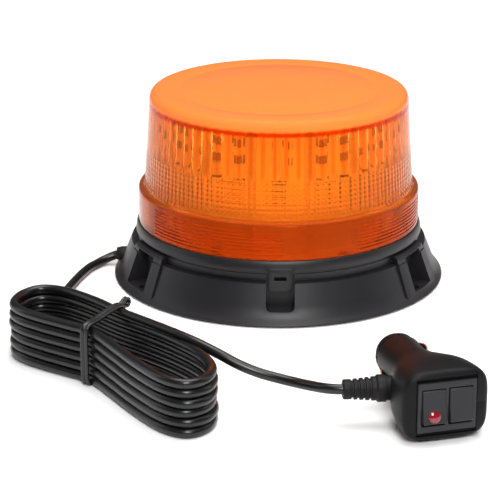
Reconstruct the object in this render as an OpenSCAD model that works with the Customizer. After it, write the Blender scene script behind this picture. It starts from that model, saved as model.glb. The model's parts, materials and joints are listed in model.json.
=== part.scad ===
/* [Base] */
// Diameter of the base at its lower rim
base_d = 160; // [150:1:170]
// Height of the base's lower rim above the surface it stands on
rim_z = 0.6; // [0.4:0.1:0.8]
// Wall thickness of the base moulding
base_wall = 2.6; // [2:0.1:3]
// Depth of the three recessed side panels
panel_depth = 1.2; // [0.6:0.1:1.6]
// Width of the snap notches in the base
notch_w = 13.2; // [12:0.1:14]
// Pitch circle of the three fixing holes
bolt_pcd = 147.2; // [145:0.1:149]
// Diameter of the fixing holes
bolt_hole_d = 5.5; // [5:0.1:6]
// Half the angle that a fixing pocket opens over, in degrees
pocket_half = 6.5; // [5.5:0.1:7]

/* [Lens] */
// Outer diameter of the lens collar
collar_d = 135.4; // [134:0.1:136]
// Height of the lens top above the ground
lens_top = 92; // [91:0.5:100]
// Outer diameter at the top of the lens
lens_top_d = 123.8; // [118:0.1:126]
// Wall thickness of the lens
lens_wall = 2.5; // [2:0.1:3]
// Number of prism lines in a collar panel
prism_lines = 8; // [4:1:8]

/* [Light engine] */
// Number of light boards round the drum
board_count = 12; // [12:1:12]
// Height of the lower row of light-emitting diodes
led_row_low = 70; // [66:0.5:71]
// Height of the upper row of light-emitting diodes
led_row_high = 78; // [76:0.5:80]

/* [Magnets] */
// Distance of each pot magnet from the centre
magnet_r = 40; // [38:0.5:40]
// Diameter of a pot magnet's steel cup
cup_d = 32; // [30:0.5:32]

/* [Cord] */
// Diameter of the supply cord
cord_d = 4.3; // [4:0.1:4.4]
// Number of turns in the hank
hank_turns = 6; // [5:1:6]

/* [Plug] */
// Place of the plug's face centre on the ground, across
plug_x = 63.8; // [60:0.1:68]
// Place of the plug's face centre on the ground, front to back
plug_y = -203; // [-206:0.1:-200]
// Turn of the plug about the vertical, in degrees
plug_turn = 16.4; // [14:0.1:18]
// Diameter of the plug's barrel
barrel_d = 19.8; // [19.6:0.1:20.4]
// Tilt of the two rockers at rest, in degrees
rocker_tilt = 8; // [6:0.5:8]
// Diameter of the glass fuse
fuse_d = 6.3; // [6:0.1:6.4]

/* [Hidden] */
$fn = 96;
tiny = 0.05;
base_r = base_d / 2;
collar_r = collar_d / 2;
lens_top_r = lens_top_d / 2;

// Heights of the beacon's joints, from the ground up
floor_t = 2.6;
deck_z = 19.6;
deck_t = 2.5;
groove_z = [18.5, 23.6];
seam_z = 28.3;
tier_z = 45.7;

// Angles are counted from the front (-Y) towards +X
clip_angles = [0, 120, 240];
pocket_angles = [62, 180, 298];
bolt_angles = [60, 180, 300];
boss_angles = [30, 90, 150, 210, 270, 330];
prism_starts = [-59, 32, 121, 212];
prism_sweep = 59;
pocket_rib = 5;

// Outer outline of the base, [radius, height]
hull_line = [
    [base_r - 0.6, rim_z], [base_r, rim_z + 0.6], [base_r - 1.8, 3.4], [72.55, groove_z[0]]
];
deck_r = 68.2;
floor_r = 62;
cover_r = 61.9;
boss_r = 58;
slot_back_r = 66.4;

// Drum that carries the light boards, and the disc on top of it
board_face = 46;
board_low = 46;
board_high = 84;
flange_low = deck_z + deck_t;
flange_high = flange_low + 3;
disc_angles = [60, 180, 300];
disc_screw_r = 38;

// Driver board on its standoffs
board_z = 13.6;
board_t = 1.6;
standoff_r = 36;
standoff_angles = [60, 180, 300];

// Cord exit through the base wall, along -X
gland_y = 8.5;
gland_z = 5.6;
gland_r = 3.6;
clamp_x = -69;
lay_z = 2.2;

// Route of the cord from inside the base to the hank
lead_route = [
    [-66.6, 8.5, 5.6], [-71, 8.5, 5.6], [-77, 8.5, 5.6], [-81.5, 8.4, 4.4], [-86, 6.4, 2.9],
    [-90, 1.6, lay_z], [-93.2, -5, lay_z], [-95.7, -13, lay_z], [-98.2, -23, lay_z],
    [-100.3, -33, lay_z], [-102, -44, lay_z], [-103, -55, lay_z], [-103, -66, lay_z],
    [-101.5, -77, lay_z], [-98, -87, lay_z], [-92, -96, lay_z]
];

// One turn of the hank from the tie's far side, clockwise from above
hank_loop = [
    [-70, -127], [-56, -140], [-43, -154], [-33, -168], [-28.5, -182], [-31, -194],
    [-39, -199.5], [-49, -193.5], [-60.5, -177], [-71, -160.5], [-81.5, -146], [-92, -137],
    [-103, -128.5], [-113, -120.5], [-117, -112], [-114, -102.5], [-106, -97], [-95, -101],
    [-82, -113]
];
far_pitch = 4;
hank_h = lay_z + hank_turns * far_pitch + cord_d / 2;

// Route of the cord from the top of the hank to the plug
tail_route = [
    [-43, -152, 25.2], [-34.5, -159, 24], [-26.5, -163.8, 21.6], [-18.5, -166.8, 18.2],
    [-10.5, -168.5, 15.4], [-2.5, -170.6, 13.8], [5, -174.4, 13.4], [12, -180.2, 14.2],
    [18, -185, 15.2], [24.5, -186.3, 15.5], [34, -185.46, 15.5], [44.5, -184.54, 15.5]
];
tie_at = [-76, -135.3];
tie_turn = 57;
tie_w = 4;
tie_gauge = 1.2;
tie_span = 25;

// Plug, in its own frame: the face at y = 0, the nose towards +y
axis_z = 15.5;
plug_line = [
    [0, 16.2, 13.2, 4.4], [0.9, 17.5, 14.4, 4.4], [3.2, 18.3, 15.1, 4], [10, 18.4, 15.2, 3.4],
    [17, 17.4, 14.7, 3], [24, 15, 13.2, 2.6], [30, 12.4, 11.7, 2.3], [35, 10.9, 10.8, 2.1],
    [38.6, 10.3, 10.3, 2]
];
plug_wall = 2;
barrel_r = barrel_d / 2;
barrel_bore_r = 7.9;
barrel_end = 54;
band_start = 52.5;
band_r = 9.6;
cap_r = 9.3;
neck_r = 8.3;
cap_end = 60;
tip_r = 3.9;
contact_y = 45;
contact_tilt = -31.5;
contact_r = 11.2;
contact_w = 4.8;
bow_r = 8.8;
bow_gauge = 0.5;
switch_w = 24.8;
switch_h = 21;
rocker_x = 5.7;
rocker_w = 9.4;
rocker_half_h = 6.9;
pivot_y = 2.5;
pivot_r = 1.1;
relief_turn = 11.4;
relief_at = [-14.5, 23.4];
relief_len = 20;
screw_places = [[-7, 28], [9.6, 25]];

// One point of a smooth curve between b and c, with a before and d after
function curve_at(a, b, c, d, t) =
    0.5 * (2 * b + (c - a) * t + (2 * a - 5 * b + 4 * c - d) * t * t
    + (3 * b - a - 3 * c + d) * t * t * t);

// Smooth closed curve through points, with n steps between two of them
function closed_curve(points, n) = [
    for (i = [0:len(points) - 1], k = [0:n - 1])
        curve_at(
            points[(i + len(points) - 1) % len(points)], points[i],
            points[(i + 1) % len(points)], points[(i + 2) % len(points)], k / n)
];

// Closed clockwise line moved outwards by a distance
function widened(points, distance) = [
    for (i = [0:len(points) - 1])
        let (
            before = points[(i + len(points) - 1) % len(points)],
            after = points[(i + 1) % len(points)],
            along = (after - before) / norm(after - before))
        points[i] + distance * [-along[1], along[0]]
];

// Power of a cosine or sine that keeps its sign, for rounded rectangles
function rounded(value, n) = sign(value) * pow(abs(value), 2 / n);

// Ring of points round the direction of travel at point i of a route
function ring(points, i, d, sides) =
    let (
        ahead = points[min(i + 1, len(points) - 1)] - points[max(i - 1, 0)],
        along = ahead / norm(ahead),
        side = cross([0, 0, 1], along),
        across = side / norm(side),
        up = cross(along, across))
    [for (k = [0:sides - 1])
        points[i] + d / 2 * (cos(360 * (k + 0.5) / sides) * across
        + sin(360 * (k + 0.5) / sides) * up)];

// Closed skin over rings of equal length, laid one after another
module skin(rings, sides) {
    count = len(rings);
    walls = [
        for (i = [0:count - 2], k = [0:sides - 1])
            let (
                a = i * sides + k,
                b = i * sides + (k + 1) % sides)
            each [[a, b + sides, b], [a, a + sides, b + sides]]
    ];
    start_cap = [for (k = [0:sides - 1]) k];
    end_cap = [for (k = [sides - 1:-1:0]) (count - 1) * sides + k];
    polyhedron([for (r = rings) each r], concat(walls, [start_cap, end_cap]));
}

// Round tube swept along a route
module tube(points, d, sides) {
    skin([for (i = [0:len(points) - 1]) ring(points, i, d, sides)], sides);
}

// Copies at radius r and a list of angles
module around(angles, r) {
    for (a = angles)
        rotate([0, 0, a]) translate([0, -r, 0]) children();
}

// Solid of revolution from angle a over sweep degrees
module sector(a, sweep) {
    rotate([0, 0, a - 90]) rotate_extrude(angle = sweep, $fn = 128) children();
}

// Flat ring between two radii and two heights
module washer(outer_r, inner_r, low, high) {
    translate([0, 0, low]) difference() {
        cylinder(r = outer_r, h = high - low);
        translate([0, 0, -1]) cylinder(r = inner_r, h = high - low + 2);
    }
}

// Pan-head screw: the head's underside at the origin, the shank below it
module screw(shank_d, length, head_d, head_h) {
    difference() {
        union() {
            translate([0, 0, -length]) cylinder(d = shank_d, h = length + head_h / 2, $fn = 24);
            cylinder(d1 = head_d, d2 = head_d * 0.8, h = head_h, $fn = 32);
        }
        translate([0, 0, head_h * 0.45]) cross_recess(head_d * 0.55, head_h);
    }
}

// Cross-shaped driver recess
module cross_recess(span, depth) {
    for (a = [0, 90])
        rotate([0, 0, a]) translate([-span / 2, -span / 10, 0]) cube([span, span / 5, depth]);
}

// ---- Base ----

// Opening of a snap notch, rounded at its lower corners, cut outwards from y = 0
module notch_cut() {
    corner = 2.5;
    rotate([90, 0, 0]) linear_extrude(12) {
        translate([-notch_w / 2, 9]) square([notch_w, 18]);
        translate([-notch_w / 2 + corner, 6.5]) square([notch_w - 2 * corner, 4]);
        for (s = [-1, 1])
            translate([s * (notch_w / 2 - corner), 9]) circle(corner, $fn = 32);
    }
}

// Wall of the base with its floor ring and deck
module base_wall_ring() {
    deck_top = deck_z + deck_t;
    rotate_extrude($fn = 128)
        polygon(concat([[floor_r, rim_z]], hull_line, [
            [deck_r, groove_z[0]], [deck_r, deck_top], [55, deck_top], [55, deck_z],
            [deck_r - 1.4, deck_z], [hull_line[3][0] - base_wall - 0.4, groove_z[0] - 1.3],
            [hull_line[2][0] - base_wall - 0.4, rim_z + floor_t], [floor_r, rim_z + floor_t]
        ]));
}

// Cut between two pocket bosses that sets a side panel back
module panel_cut(i) {
    after = pocket_angles[i] + pocket_half + pocket_rib + 0.3;
    before = pocket_angles[(i + 1) % 3] - pocket_half - pocket_rib - 0.3;
    sector(after, (before - after + 360) % 360)
        polygon([
            [90, 2.4], [base_r - 0.9, 2.4], [base_r - 1.8 - panel_depth, 4.2],
            [hull_line[3][0] - panel_depth, groove_z[0] + 0.1], [90, groove_z[0] + 0.1]
        ]);
}

module base_shell() {
    boss_sweep = 2 * (pocket_half + pocket_rib);
    color("#3b3b40") difference() {
        union() {
            base_wall_ring();
            for (a = pocket_angles)
                sector(a - boss_sweep / 2, boss_sweep)
                    polygon([
                        [65.5, 2], [75.5, 2], [72, 17], [72, groove_z[0] + 0.1], [71.3, 21],
                        [69.9, deck_z + deck_t], [65.5, deck_z + deck_t]
                    ]);
            for (a = clip_angles)
                sector(a - 8, 16)
                    polygon([
                        [64.5, 2], [75.5, 2], [71.5, 16], [68, 18], [68, deck_z + 1],
                        [64.5, deck_z + 1]
                    ]);
            around(boss_angles, boss_r)
                translate([0, 0, rim_z + floor_t]) cylinder(r = 3.6, h = deck_z - 3, $fn = 48);
        }
        for (i = [0:2]) panel_cut(i);
        for (a = pocket_angles)
            sector(a - pocket_half, 2 * pocket_half)
                polygon([[67.8, 4.5], [90, 4.5], [90, 20.5], [67.8, 20.5]]);
        around(clip_angles, slot_back_r) notch_cut();
        around(bolt_angles, bolt_pcd / 2)
            translate([0, 0, -1]) cylinder(d = bolt_hole_d, h = 7, $fn = 48);
        around(boss_angles, boss_r) {
            translate([0, 0, 3]) cylinder(d = 3.1, h = 11, $fn = 24);
            translate([0, 0, deck_z - 4]) cylinder(d = 3.1, h = 8, $fn = 24);
        }
        translate([0, gland_y, gland_z]) rotate([0, -90, 0]) {
            translate([0, 0, 60]) cylinder(r = 4.5, h = 13.7, $fn = 48);
            translate([0, 0, 60]) cylinder(r = gland_r + tiny, h = 22, $fn = 48);
        }
    }
}

module base_cover() {
    turret_top = 11.4;
    color("#303034") difference() {
        union() {
            translate([0, 0, 0.8]) cylinder(r = cover_r, h = 2.4);
            around(clip_angles, magnet_r)
                translate([0, 0, 0.8]) cylinder(r = 19.8, h = turret_top - 0.8);
            around(standoff_angles, standoff_r)
                translate([0, 0, 0.8]) cylinder(r = 4.4, h = 6, $fn = 48);
        }
        around(clip_angles, magnet_r) {
            translate([0, 0, -1]) cylinder(r = 17.9, h = turret_top - 0.9);
            cylinder(d = 3.4, h = 20, $fn = 24);
        }
        around(boss_angles, boss_r) {
            cylinder(d = 3.3, h = 8, $fn = 24);
            translate([0, 0, -1]) cylinder(d = 6.4, h = 3, $fn = 32);
        }
    }
}

module cover_screws() {
    color("silver") around(boss_angles, boss_r)
        translate([0, 0, 2]) mirror([0, 0, 1]) screw(3, 9, 5.8, 1.2);
}

// ---- Magnets ----

module magnet_cups() {
    color("silver") around(clip_angles, magnet_r) difference() {
        translate([0, 0, 1]) cylinder(d = cup_d, h = 8.4);
        translate([0, 0, 0.5]) cylinder(d = cup_d - 3, h = 7);
        cylinder(d = 4.5, h = 12, $fn = 32);
    }
}

module magnets() {
    color("#404048") around(clip_angles, magnet_r)
        washer(cup_d / 2 - 1.7, 5, 1.05, 7.45);
}

module magnet_boots() {
    color("#1c1c1e") around(clip_angles, magnet_r) difference() {
        cylinder(r = 17.6, h = 8.6);
        translate([0, 0, 1]) cylinder(d = cup_d + 0.1, h = 9);
    }
}

module magnet_screws() {
    color("silver") around(clip_angles, magnet_r)
        translate([0, 0, 7.4]) mirror([0, 0, 1]) screw(3, 5.4, 7, 2);
}

// ---- Light engine ----

module heat_sink() {
    corner_r = board_face / cos(15);
    color("lightgray") difference() {
        union() {
            translate([0, 0, flange_low]) cylinder(r = 60.5, h = 3);
            rotate([0, 0, 15]) translate([0, 0, flange_low])
                cylinder(r = corner_r, h = board_high - flange_low, $fn = 12);
        }
        difference() {
            translate([0, 0, flange_high]) rotate([0, 0, 15])
                cylinder(r = corner_r - 3, h = 80, $fn = 12);
            for (i = [0:board_count - 1])
                rotate([0, 0, 30 * i]) translate([-1, -46, 0]) cube([2, 14, 84.5]);
            around(disc_angles, disc_screw_r) cylinder(r = 3, h = 84.5, $fn = 48);
        }
        translate([0, 0, 10]) cylinder(r = 12, h = 30);
        around(boss_angles, boss_r) cylinder(d = 3.4, h = 40, $fn = 24);
        around(disc_angles, disc_screw_r)
            translate([0, 0, 76]) cylinder(d = 2.5, h = 20, $fn = 24);
    }
}

module heat_sink_screws() {
    color("silver") around(boss_angles, boss_r)
        translate([0, 0, flange_high]) screw(3, 9, 5.6, 2);
}

// Twelve boards stand on the flats of the drum
module on_flats() {
    for (i = [0:board_count - 1])
        rotate([0, 0, 30 * i]) translate([0, -board_face - tiny, 0]) children();
}

module led_boards() {
    color("white") on_flats()
        translate([-10.5, -1.6, board_low]) cube([21, 1.6, board_high - board_low]);
}

module leds() {
    color("khaki") on_flats()
        for (z = [led_row_low, led_row_high], x = [-5, 5])
            translate([x - 1.75, -3.1, z - 1.75]) cube([3.5, 1.5, 3.5]);
}

module led_resistors() {
    color("#202020") on_flats()
        for (z = [52, 60], x = [-6, -2, 2, 6])
            translate([x - 0.8, -2.2, z - 0.5]) cube([1.6, 0.6, 1]);
}

module top_reflector() {
    color("white") difference() {
        union() {
            translate([0, 0, board_high]) cylinder(r = 47.5, h = 1.6);
            washer(47.5, 46, board_high, board_high + 3);
        }
        around(disc_angles, disc_screw_r) translate([0, 0, 70]) cylinder(d = 2.6, h = 30, $fn = 24);
    }
}

module reflector_screws() {
    color("silver") around(disc_angles, disc_screw_r)
        translate([0, 0, board_high + 1.6]) screw(2.4, 7, 4.6, 1.4);
}

// ---- Driver ----

module driver_board() {
    color("darkgreen") difference() {
        translate([0, 0, board_z]) cylinder(r = 50, h = board_t);
        around(standoff_angles, standoff_r)
            translate([0, 0, 10]) cylinder(d = 3.2, h = 8, $fn = 24);
    }
}

module board_standoffs() {
    color("goldenrod") around(standoff_angles, standoff_r)
        translate([0, 0, 6.8]) cylinder(r = 3, h = board_z - 6.8, $fn = 6);
}

module board_screws() {
    color("silver") around(standoff_angles, standoff_r)
        translate([0, 0, board_z + board_t]) screw(2.9, board_t - 0.1, 5.6, 2);
}

module driver_coils() {
    color("dimgray") for (x = [-14, 14])
        translate([x, 8, board_z + board_t]) cylinder(d = 10, h = 5, $fn = 48);
}

module driver_capacitors() {
    color("slateblue") for (x = [-20, -8, 8, 20])
        translate([x, -14, board_z + board_t]) cylinder(d = 6.3, h = 6, $fn = 48);
}

module driver_chips() {
    color("#202024") for (x = [-10, 0, 10])
        translate([x - 2.5, -3, board_z + board_t]) cube([5, 6, 1.5]);
}

module terminal_block() {
    color("seagreen") translate([-43, 3.5, board_z + board_t]) difference() {
        cube([8, 10, 6]);
        for (y = [2.5, 7.5])
            translate([-1, y, 3]) rotate([0, 90, 0]) cylinder(d = 2, h = 6, $fn = 24);
    }
}

// ---- Cord ----

module inner_wires() {
    for (s = [-1, 1])
        color(s < 0 ? "firebrick" : "#202020")
            tube([
                [-66.5, gland_y + s, gland_z], [-61, gland_y + s, 7], [-57, gland_y + s, 12],
                [-53, gland_y + 1.6 * s, 16.6], [-48, gland_y + 2.5 * s, 18.2],
                [-40, gland_y + 2.5 * s, 18.2]
            ], 1.4, 8);
}

module cord_clamp() {
    color("#303034") difference() {
        translate([clamp_x - 2, gland_y - 6.5, rim_z + floor_t]) cube([4, 13, 5.6]);
        translate([clamp_x, gland_y, gland_z]) rotate([0, 90, 0])
            cylinder(d = cord_d, h = 10, center = true, $fn = 48);
        translate([clamp_x, gland_y, 0]) cube([10, cord_d, 2 * gland_z], center = true);
        for (s = [-1, 1])
            translate([clamp_x, gland_y + 4.4 * s, 0]) cylinder(d = 2.2, h = 20, $fn = 24);
    }
}

module clamp_screws() {
    color("silver") for (s = [-1, 1])
        translate([clamp_x, gland_y + 4.4 * s, rim_z + floor_t + 5.6]) screw(2, 5.5, 3.8, 1.2);
}

module cord_gland() {
    color("#1c1c1e") translate([0, gland_y, gland_z]) rotate([0, -90, 0])
        rotate_extrude($fn = 64)
            polygon([
                [cord_d / 2, 71.8], [4.4, 71.8], [4.4, 73.5], [gland_r, 73.5], [gland_r, 77],
                [3, 79.6], [cord_d / 2, 79.6]
            ]);
}

module cord_lead() {
    color("#202022") tube(lead_route, cord_d, 10);
}

module cord_hank() {
    color("#202022") translate([0, 0, lay_z - cord_d / 2])
        linear_extrude(hank_h - lay_z + cord_d / 2)
            polygon(widened(closed_curve(hank_loop, 3), cord_d / 2));
}

module cord_tie() {
    height = hank_h + tie_gauge;
    color("#151516") translate([tie_at[0], tie_at[1], 0]) rotate([90, 0, tie_turn])
        translate([0, 0, -tie_w / 2]) linear_extrude(tie_w) difference() {
            translate([-tie_span / 2, tiny]) square([tie_span, height - tiny]);
            translate([-tie_span / 2 + tie_gauge, lay_z - cord_d / 2 + tie_gauge])
                square([tie_span - 2 * tie_gauge, height - 2 * tie_gauge - 0.1]);
        }
}

module cord_tail() {
    color("#202022") tube(tail_route, cord_d, 10);
}

// ---- Plug ----

module in_plug() {
    translate([plug_x, plug_y, 0]) rotate([0, 0, plug_turn])
        translate([0, 0, axis_z]) children();
}

// Turns a shape that stands on +z so that it points from the face to the nose
module to_nose() {
    rotate([-90, 0, 0]) children();
}

// Rounded body of the plug, shrunk by inset
module plug_form(inset, from, sides) {
    skin([
        for (i = [from:len(plug_line) - 1])
            [for (k = [0:sides - 1])
                [
                    (plug_line[i][1] - inset) * rounded(sin(360 * k / sides), plug_line[i][3]),
                    plug_line[i][0],
                    (plug_line[i][2] - inset) * rounded(cos(360 * k / sides), plug_line[i][3])
                ]]
    ], sides);
}

// Whole plug housing, before it is split into halves
module plug_housing() {
    difference() {
        union() {
            plug_form(0, 0, 48);
            to_nose() translate([0, 0, 36]) cylinder(r = barrel_r, h = band_start - 36);
            to_nose() translate([0, 0, band_start - 1])
                cylinder(r = band_r, h = barrel_end - band_start + 1);
            to_nose() translate([0, 0, 50]) cylinder(r = neck_r, h = 8);
        }
        plug_form(plug_wall, 2, 48);
        translate([-switch_w / 2 - 0.4, -1, -12.2]) cube([switch_w + 0.8, 2.2, 24.4]);
        translate([-11.8, -1, -9.2]) cube([23.6, 8, 18.4]);
        to_nose() translate([0, 0, 37]) cylinder(r = barrel_bore_r, h = 16.5);
        to_nose() translate([0, 0, 37]) cylinder(r = 6.6, h = 30);
        for (s = [0, 180]) rotate([0, s + contact_tilt, 0])
            translate([5, contact_y - 7.3, -contact_w / 2 - 0.2]) cube([10, 14.6, contact_w + 0.4]);
        relief_place() rotate([0, -90, 0]) translate([0, 0, -4]) cylinder(r = 5.05, h = 14);
    }
}

// Frame of the strain relief: its free end points along -x
module relief_place() {
    translate([relief_at[0], relief_at[1], 0]) rotate([0, 0, -relief_turn]) children();
}

module plug_lower() {
    color("#2a2a2c") in_plug() difference() {
        union() {
            intersection() {
                plug_housing();
                translate([-40, -5, -40]) cube([80, 80, 40]);
            }
            intersection() {
                plug_form(0.5, 0, 48);
                plug_posts(3, -20, -0.1);
            }
        }
        plug_posts(1.5, -30, 10);
        plug_posts(2.7, -30, -8);
    }
}

// Screw posts of the plug between two heights
module plug_posts(r, low, high) {
    for (p = screw_places)
        translate([p[0], p[1], low]) cylinder(r = r, h = high - low, $fn = 32);
}

module plug_upper() {
    color("#2a2a2c") in_plug() difference() {
        union() {
            intersection() {
                plug_housing();
                translate([-40, -5, 0]) cube([80, 80, 40]);
            }
            intersection() {
                plug_form(0.5, 0, 48);
                plug_posts(3, 0.1, 20);
            }
        }
        plug_posts(1.2, -1, 7);
    }
}

module plug_screws() {
    color("silver") in_plug() for (p = screw_places)
        translate([p[0], p[1], -8.1]) mirror([0, 0, 1]) screw(2.3, 13, 5, 1.6);
}

module nose_cap() {
    color("#242426") in_plug() to_nose() difference() {
        rotate_extrude()
            polygon([
                [neck_r + tiny, barrel_end + 0.1], [cap_r, barrel_end + 0.1], [cap_r, 57.2],
                [8.2, cap_end], [tip_r + 0.1, cap_end], [tip_r + 0.1, 58.4], [neck_r + tiny, 58.4]
            ]);
        for (i = [0:11])
            rotate([0, 0, 30 * i]) translate([cap_r, 0, 50]) cylinder(r = 0.4, h = 6.6, $fn = 16);
    }
}

module tip_contact() {
    color("silver") in_plug() to_nose() rotate_extrude()
        polygon([
            [0, 56], [5.4, 56], [5.4, 58.1], [tip_r, 58.1], [tip_r, 63], [3.4, 64.6],
            [2.2, 65.8], [0, 66.2]
        ]);
}

module fuse() {
    color("lightblue") in_plug() to_nose() translate([0, 0, 26]) {
        cylinder(d = fuse_d - 0.4, h = 30);
        cylinder(d = fuse_d, h = 6);
        translate([0, 0, 24]) cylinder(d = fuse_d, h = 6);
    }
}

module tip_spring() {
    turns = 4;
    color("silver") in_plug() to_nose() translate([0, 0, 17.6])
        tube([
            for (i = [0:12 * turns])
                [2.6 * cos(30 * i), 2.6 * sin(30 * i), 0.4 + 7.6 * i / (12 * turns)]
        ], 0.6, 6);
}

module spring_terminal() {
    color("goldenrod") in_plug() {
        to_nose() translate([0, 0, 16.6]) cylinder(r = 4.4, h = 0.9);
        to_nose() translate([0, 0, 16.6]) washer(4.4, 3.6, 0, 3);
        translate([-1.5, 16.6, -12.6]) cube([3, 0.8, 8.6]);
    }
}

// Sprung side contact, a bowed strip that stands out of its slot
module side_contact(side) {
    color("silver") in_plug() rotate([0, side + contact_tilt, 0])
        translate([contact_r - bow_r, contact_y, 0]) linear_extrude(contact_w, center = true)
            intersection() {
                difference() {
                    circle(bow_r);
                    circle(bow_r - bow_gauge);
                }
                translate([bow_r - 4.9, -8]) square([10, 16]);
            }
}

module side_contact_left() {
    side_contact(180);
}

module side_contact_right() {
    side_contact(0);
}

// ---- Switch ----

module switch_frame() {
    color("#202022") in_plug() difference() {
        union() {
            translate([-switch_w / 2, -0.5, -switch_h / 2]) cube([switch_w, 1.6, switch_h]);
            translate([-11.7, 0, -9.1]) cube([23.4, 9, 18.2]);
        }
        for (s = [-1, 1])
            translate([s * rocker_x - 5, -1, -7.75]) cube([10, 12, 15.5]);
        translate([-15, pivot_y, 0]) rotate([0, 90, 0])
            cylinder(r = pivot_r + tiny, h = 30, $fn = 48);
    }
}

module switch_base() {
    color("saddlebrown") in_plug()
        translate([-11.7, 9.02, -9.1]) cube([23.4, 1.8, 18.2]);
}

module switch_terminals() {
    color("goldenrod") in_plug()
        for (x = [-8, -3, 3, 8], z = [-5, 5])
            translate([x - 1.2, 10.84, z - 0.4]) cube([2.4, 4.4, 0.8]);
}

// Rocker with its trunnions, tilted so that its lower end stands out
module rocker(side) {
    in_plug() translate([side * rocker_x, pivot_y, 0]) rotate([-rocker_tilt, 0, 0]) {
        rotate([90, 0, 90]) translate([0, 0, -rocker_w / 2]) linear_extrude(rocker_w)
            polygon([
                [-4.5, rocker_half_h - 0.5], [-4, rocker_half_h], [-1.3, rocker_half_h],
                [2.4, 3], [2.4, -3], [-1.3, -rocker_half_h], [-4, -rocker_half_h],
                [-4.5, 0.5 - rocker_half_h], [-3.7, 0]
            ]);
        translate([-5.6, 0, 0]) rotate([0, 90, 0]) cylinder(r = pivot_r, h = 11.2, $fn = 48);
    }
}

module rocker_power() {
    color("#2c2c2e") difference() {
        rocker(-1);
        lamp_place() cylinder(r = 2.55, h = 4, center = true, $fn = 48);
    }
}

module rocker_mode() {
    color("#2c2c2e") rocker(1);
}

// Frame of the red lamp on the lower half of the power rocker
module lamp_place() {
    in_plug() translate([-rocker_x, pivot_y, 0]) rotate([-rocker_tilt, 0, 0])
        translate([0, -4.2, -3.9]) rotate([90 - 7, 0, 0]) children();
}

module power_lamp() {
    color("red") lamp_place() intersection() {
        translate([0, 0, -3.4]) sphere(r = 4.2, $fn = 64);
        translate([0, 0, -1.6]) cylinder(r = 2.5, h = 4, $fn = 48);
    }
}

// ---- Strain relief ----

module strain_relief() {
    color("#1e1e20") in_plug() relief_place() rotate([0, -90, 0]) difference() {
        rotate_extrude()
            polygon([
                [cord_d / 2, -3], [6, -3], [6, -1.4], [5, -1.4], [5, 2.6], [5.6, 2.6],
                [5.6, 6], [4.9, 6.6], [4.9, 8.4], [4.1, 8.4], [4.1, 9.4], [4.7, 9.4],
                [4.7, 10.8], [3.9, 10.8], [3.9, 11.8], [4.5, 11.8], [4.5, 13.2], [3.7, 13.2],
                [3.7, 14.2], [4.3, 14.2], [4.3, 15.6], [3.5, 15.6], [3.5, 16.6], [4.1, 16.6],
                [4.1, relief_len - 0.4], [3.7, relief_len], [cord_d / 2, relief_len]
            ]);
    }
}

module plug_wires() {
    color("firebrick") in_plug() tube([
        [-11.2, 22.2, 0], [-9.2, 21.4, 3], [-5.5, 20, 5], [-3, 17.6, 5], [-3, 15.5, 5]
    ], 1.2, 8);
    color("#202020") in_plug() tube([
        [-11.2, 23.8, 0], [-9.5, 22.6, -2.8], [-5.5, 20.6, -5], [-3, 17.6, -5], [-3, 15.5, -5]
    ], 1.2, 8);
}

// ---- Lens ----

module lens() {
    arc_r = 4;
    collar_arc = 2;
    collar_line = [
        for (a = [0:15:90])
            [collar_r - collar_arc + collar_arc * cos(a), tier_z - collar_arc + collar_arc * sin(a)]
    ];
    top_line = [
        for (a = [0:15:90])
            [lens_top_r - arc_r + arc_r * cos(a), lens_top - arc_r + arc_r * sin(a)]
    ];
    groove_pitch = 1.62;
    color("darkorange") difference() {
        rotate_extrude($fn = 128)
            polygon(concat(
                [[62.4, flange_low + 1.2], [64.8, flange_low + 1.2], [64.8, seam_z],
                    [collar_r, seam_z]],
                collar_line, [[64.7, tier_z + 0.2]], top_line,
                [[0, lens_top], [0, lens_top - lens_wall],
                    [lens_top_r - lens_wall - 2.2, lens_top - lens_wall],
                    [lens_top_r - lens_wall, lens_top - lens_wall - 2.2],
                    [62.4, tier_z - 0.6]]));
        for (a = prism_starts)
            sector(a, prism_sweep) for (i = [0:prism_lines - 1])
                translate([collar_r, seam_z + 2.4 + i * groove_pitch])
                    polygon([[-0.6, 0], [0.5, -0.55], [0.5, 0.55]]);
    }
}

module lens_ring() {
    color("#4b4a56") difference() {
        union() {
            rotate_extrude($fn = 128)
                polygon([
                    [64.9, flange_low + tiny], [68, flange_low + tiny], [68, groove_z[1]],
                    [69.2, groove_z[1]], [68.8, 26.4], [68.1, seam_z - tiny],
                    [64.9, seam_z - tiny]
                ]);
            around(clip_angles, 69.3) translate([-5.5, 0, 14]) cube([11, 2.3, 10.6]);
        }
        around(clip_angles, 69.4) translate([-2.75, -1, 19.2]) cube([5.5, 6, 1.9]);
    }
}

module lens_seal() {
    color("#1c1c1e") washer(64.75, 62.5, flange_low, flange_low + 1.15);
}

lens();
lens_ring();
lens_seal();
base_shell();
base_cover();
cover_screws();
magnet_cups();
magnets();
magnet_boots();
magnet_screws();
heat_sink();
heat_sink_screws();
led_boards();
leds();
led_resistors();
top_reflector();
reflector_screws();
driver_board();
board_standoffs();
board_screws();
driver_coils();
driver_capacitors();
driver_chips();
terminal_block();
inner_wires();
cord_clamp();
clamp_screws();
cord_gland();
cord_lead();
cord_hank();
cord_tie();
cord_tail();
plug_upper();
plug_lower();
plug_screws();
nose_cap();
tip_contact();
fuse();
tip_spring();
spring_terminal();
side_contact_left();
side_contact_right();
switch_frame();
switch_base();
switch_terminals();
rocker_power();
rocker_mode();
power_lamp();
strain_relief();
plug_wires();
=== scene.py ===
"""Warning beacon with a magnetic base, a cord folded in a hank and a vehicle socket plug.

Run as a script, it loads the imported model, gives every part its finish, builds the parts that
need finer shapes, and sets up the floor, the lights and the camera.
"""

import json
import math

import bmesh
import bpy
from mathutils import Matrix, Vector


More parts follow.
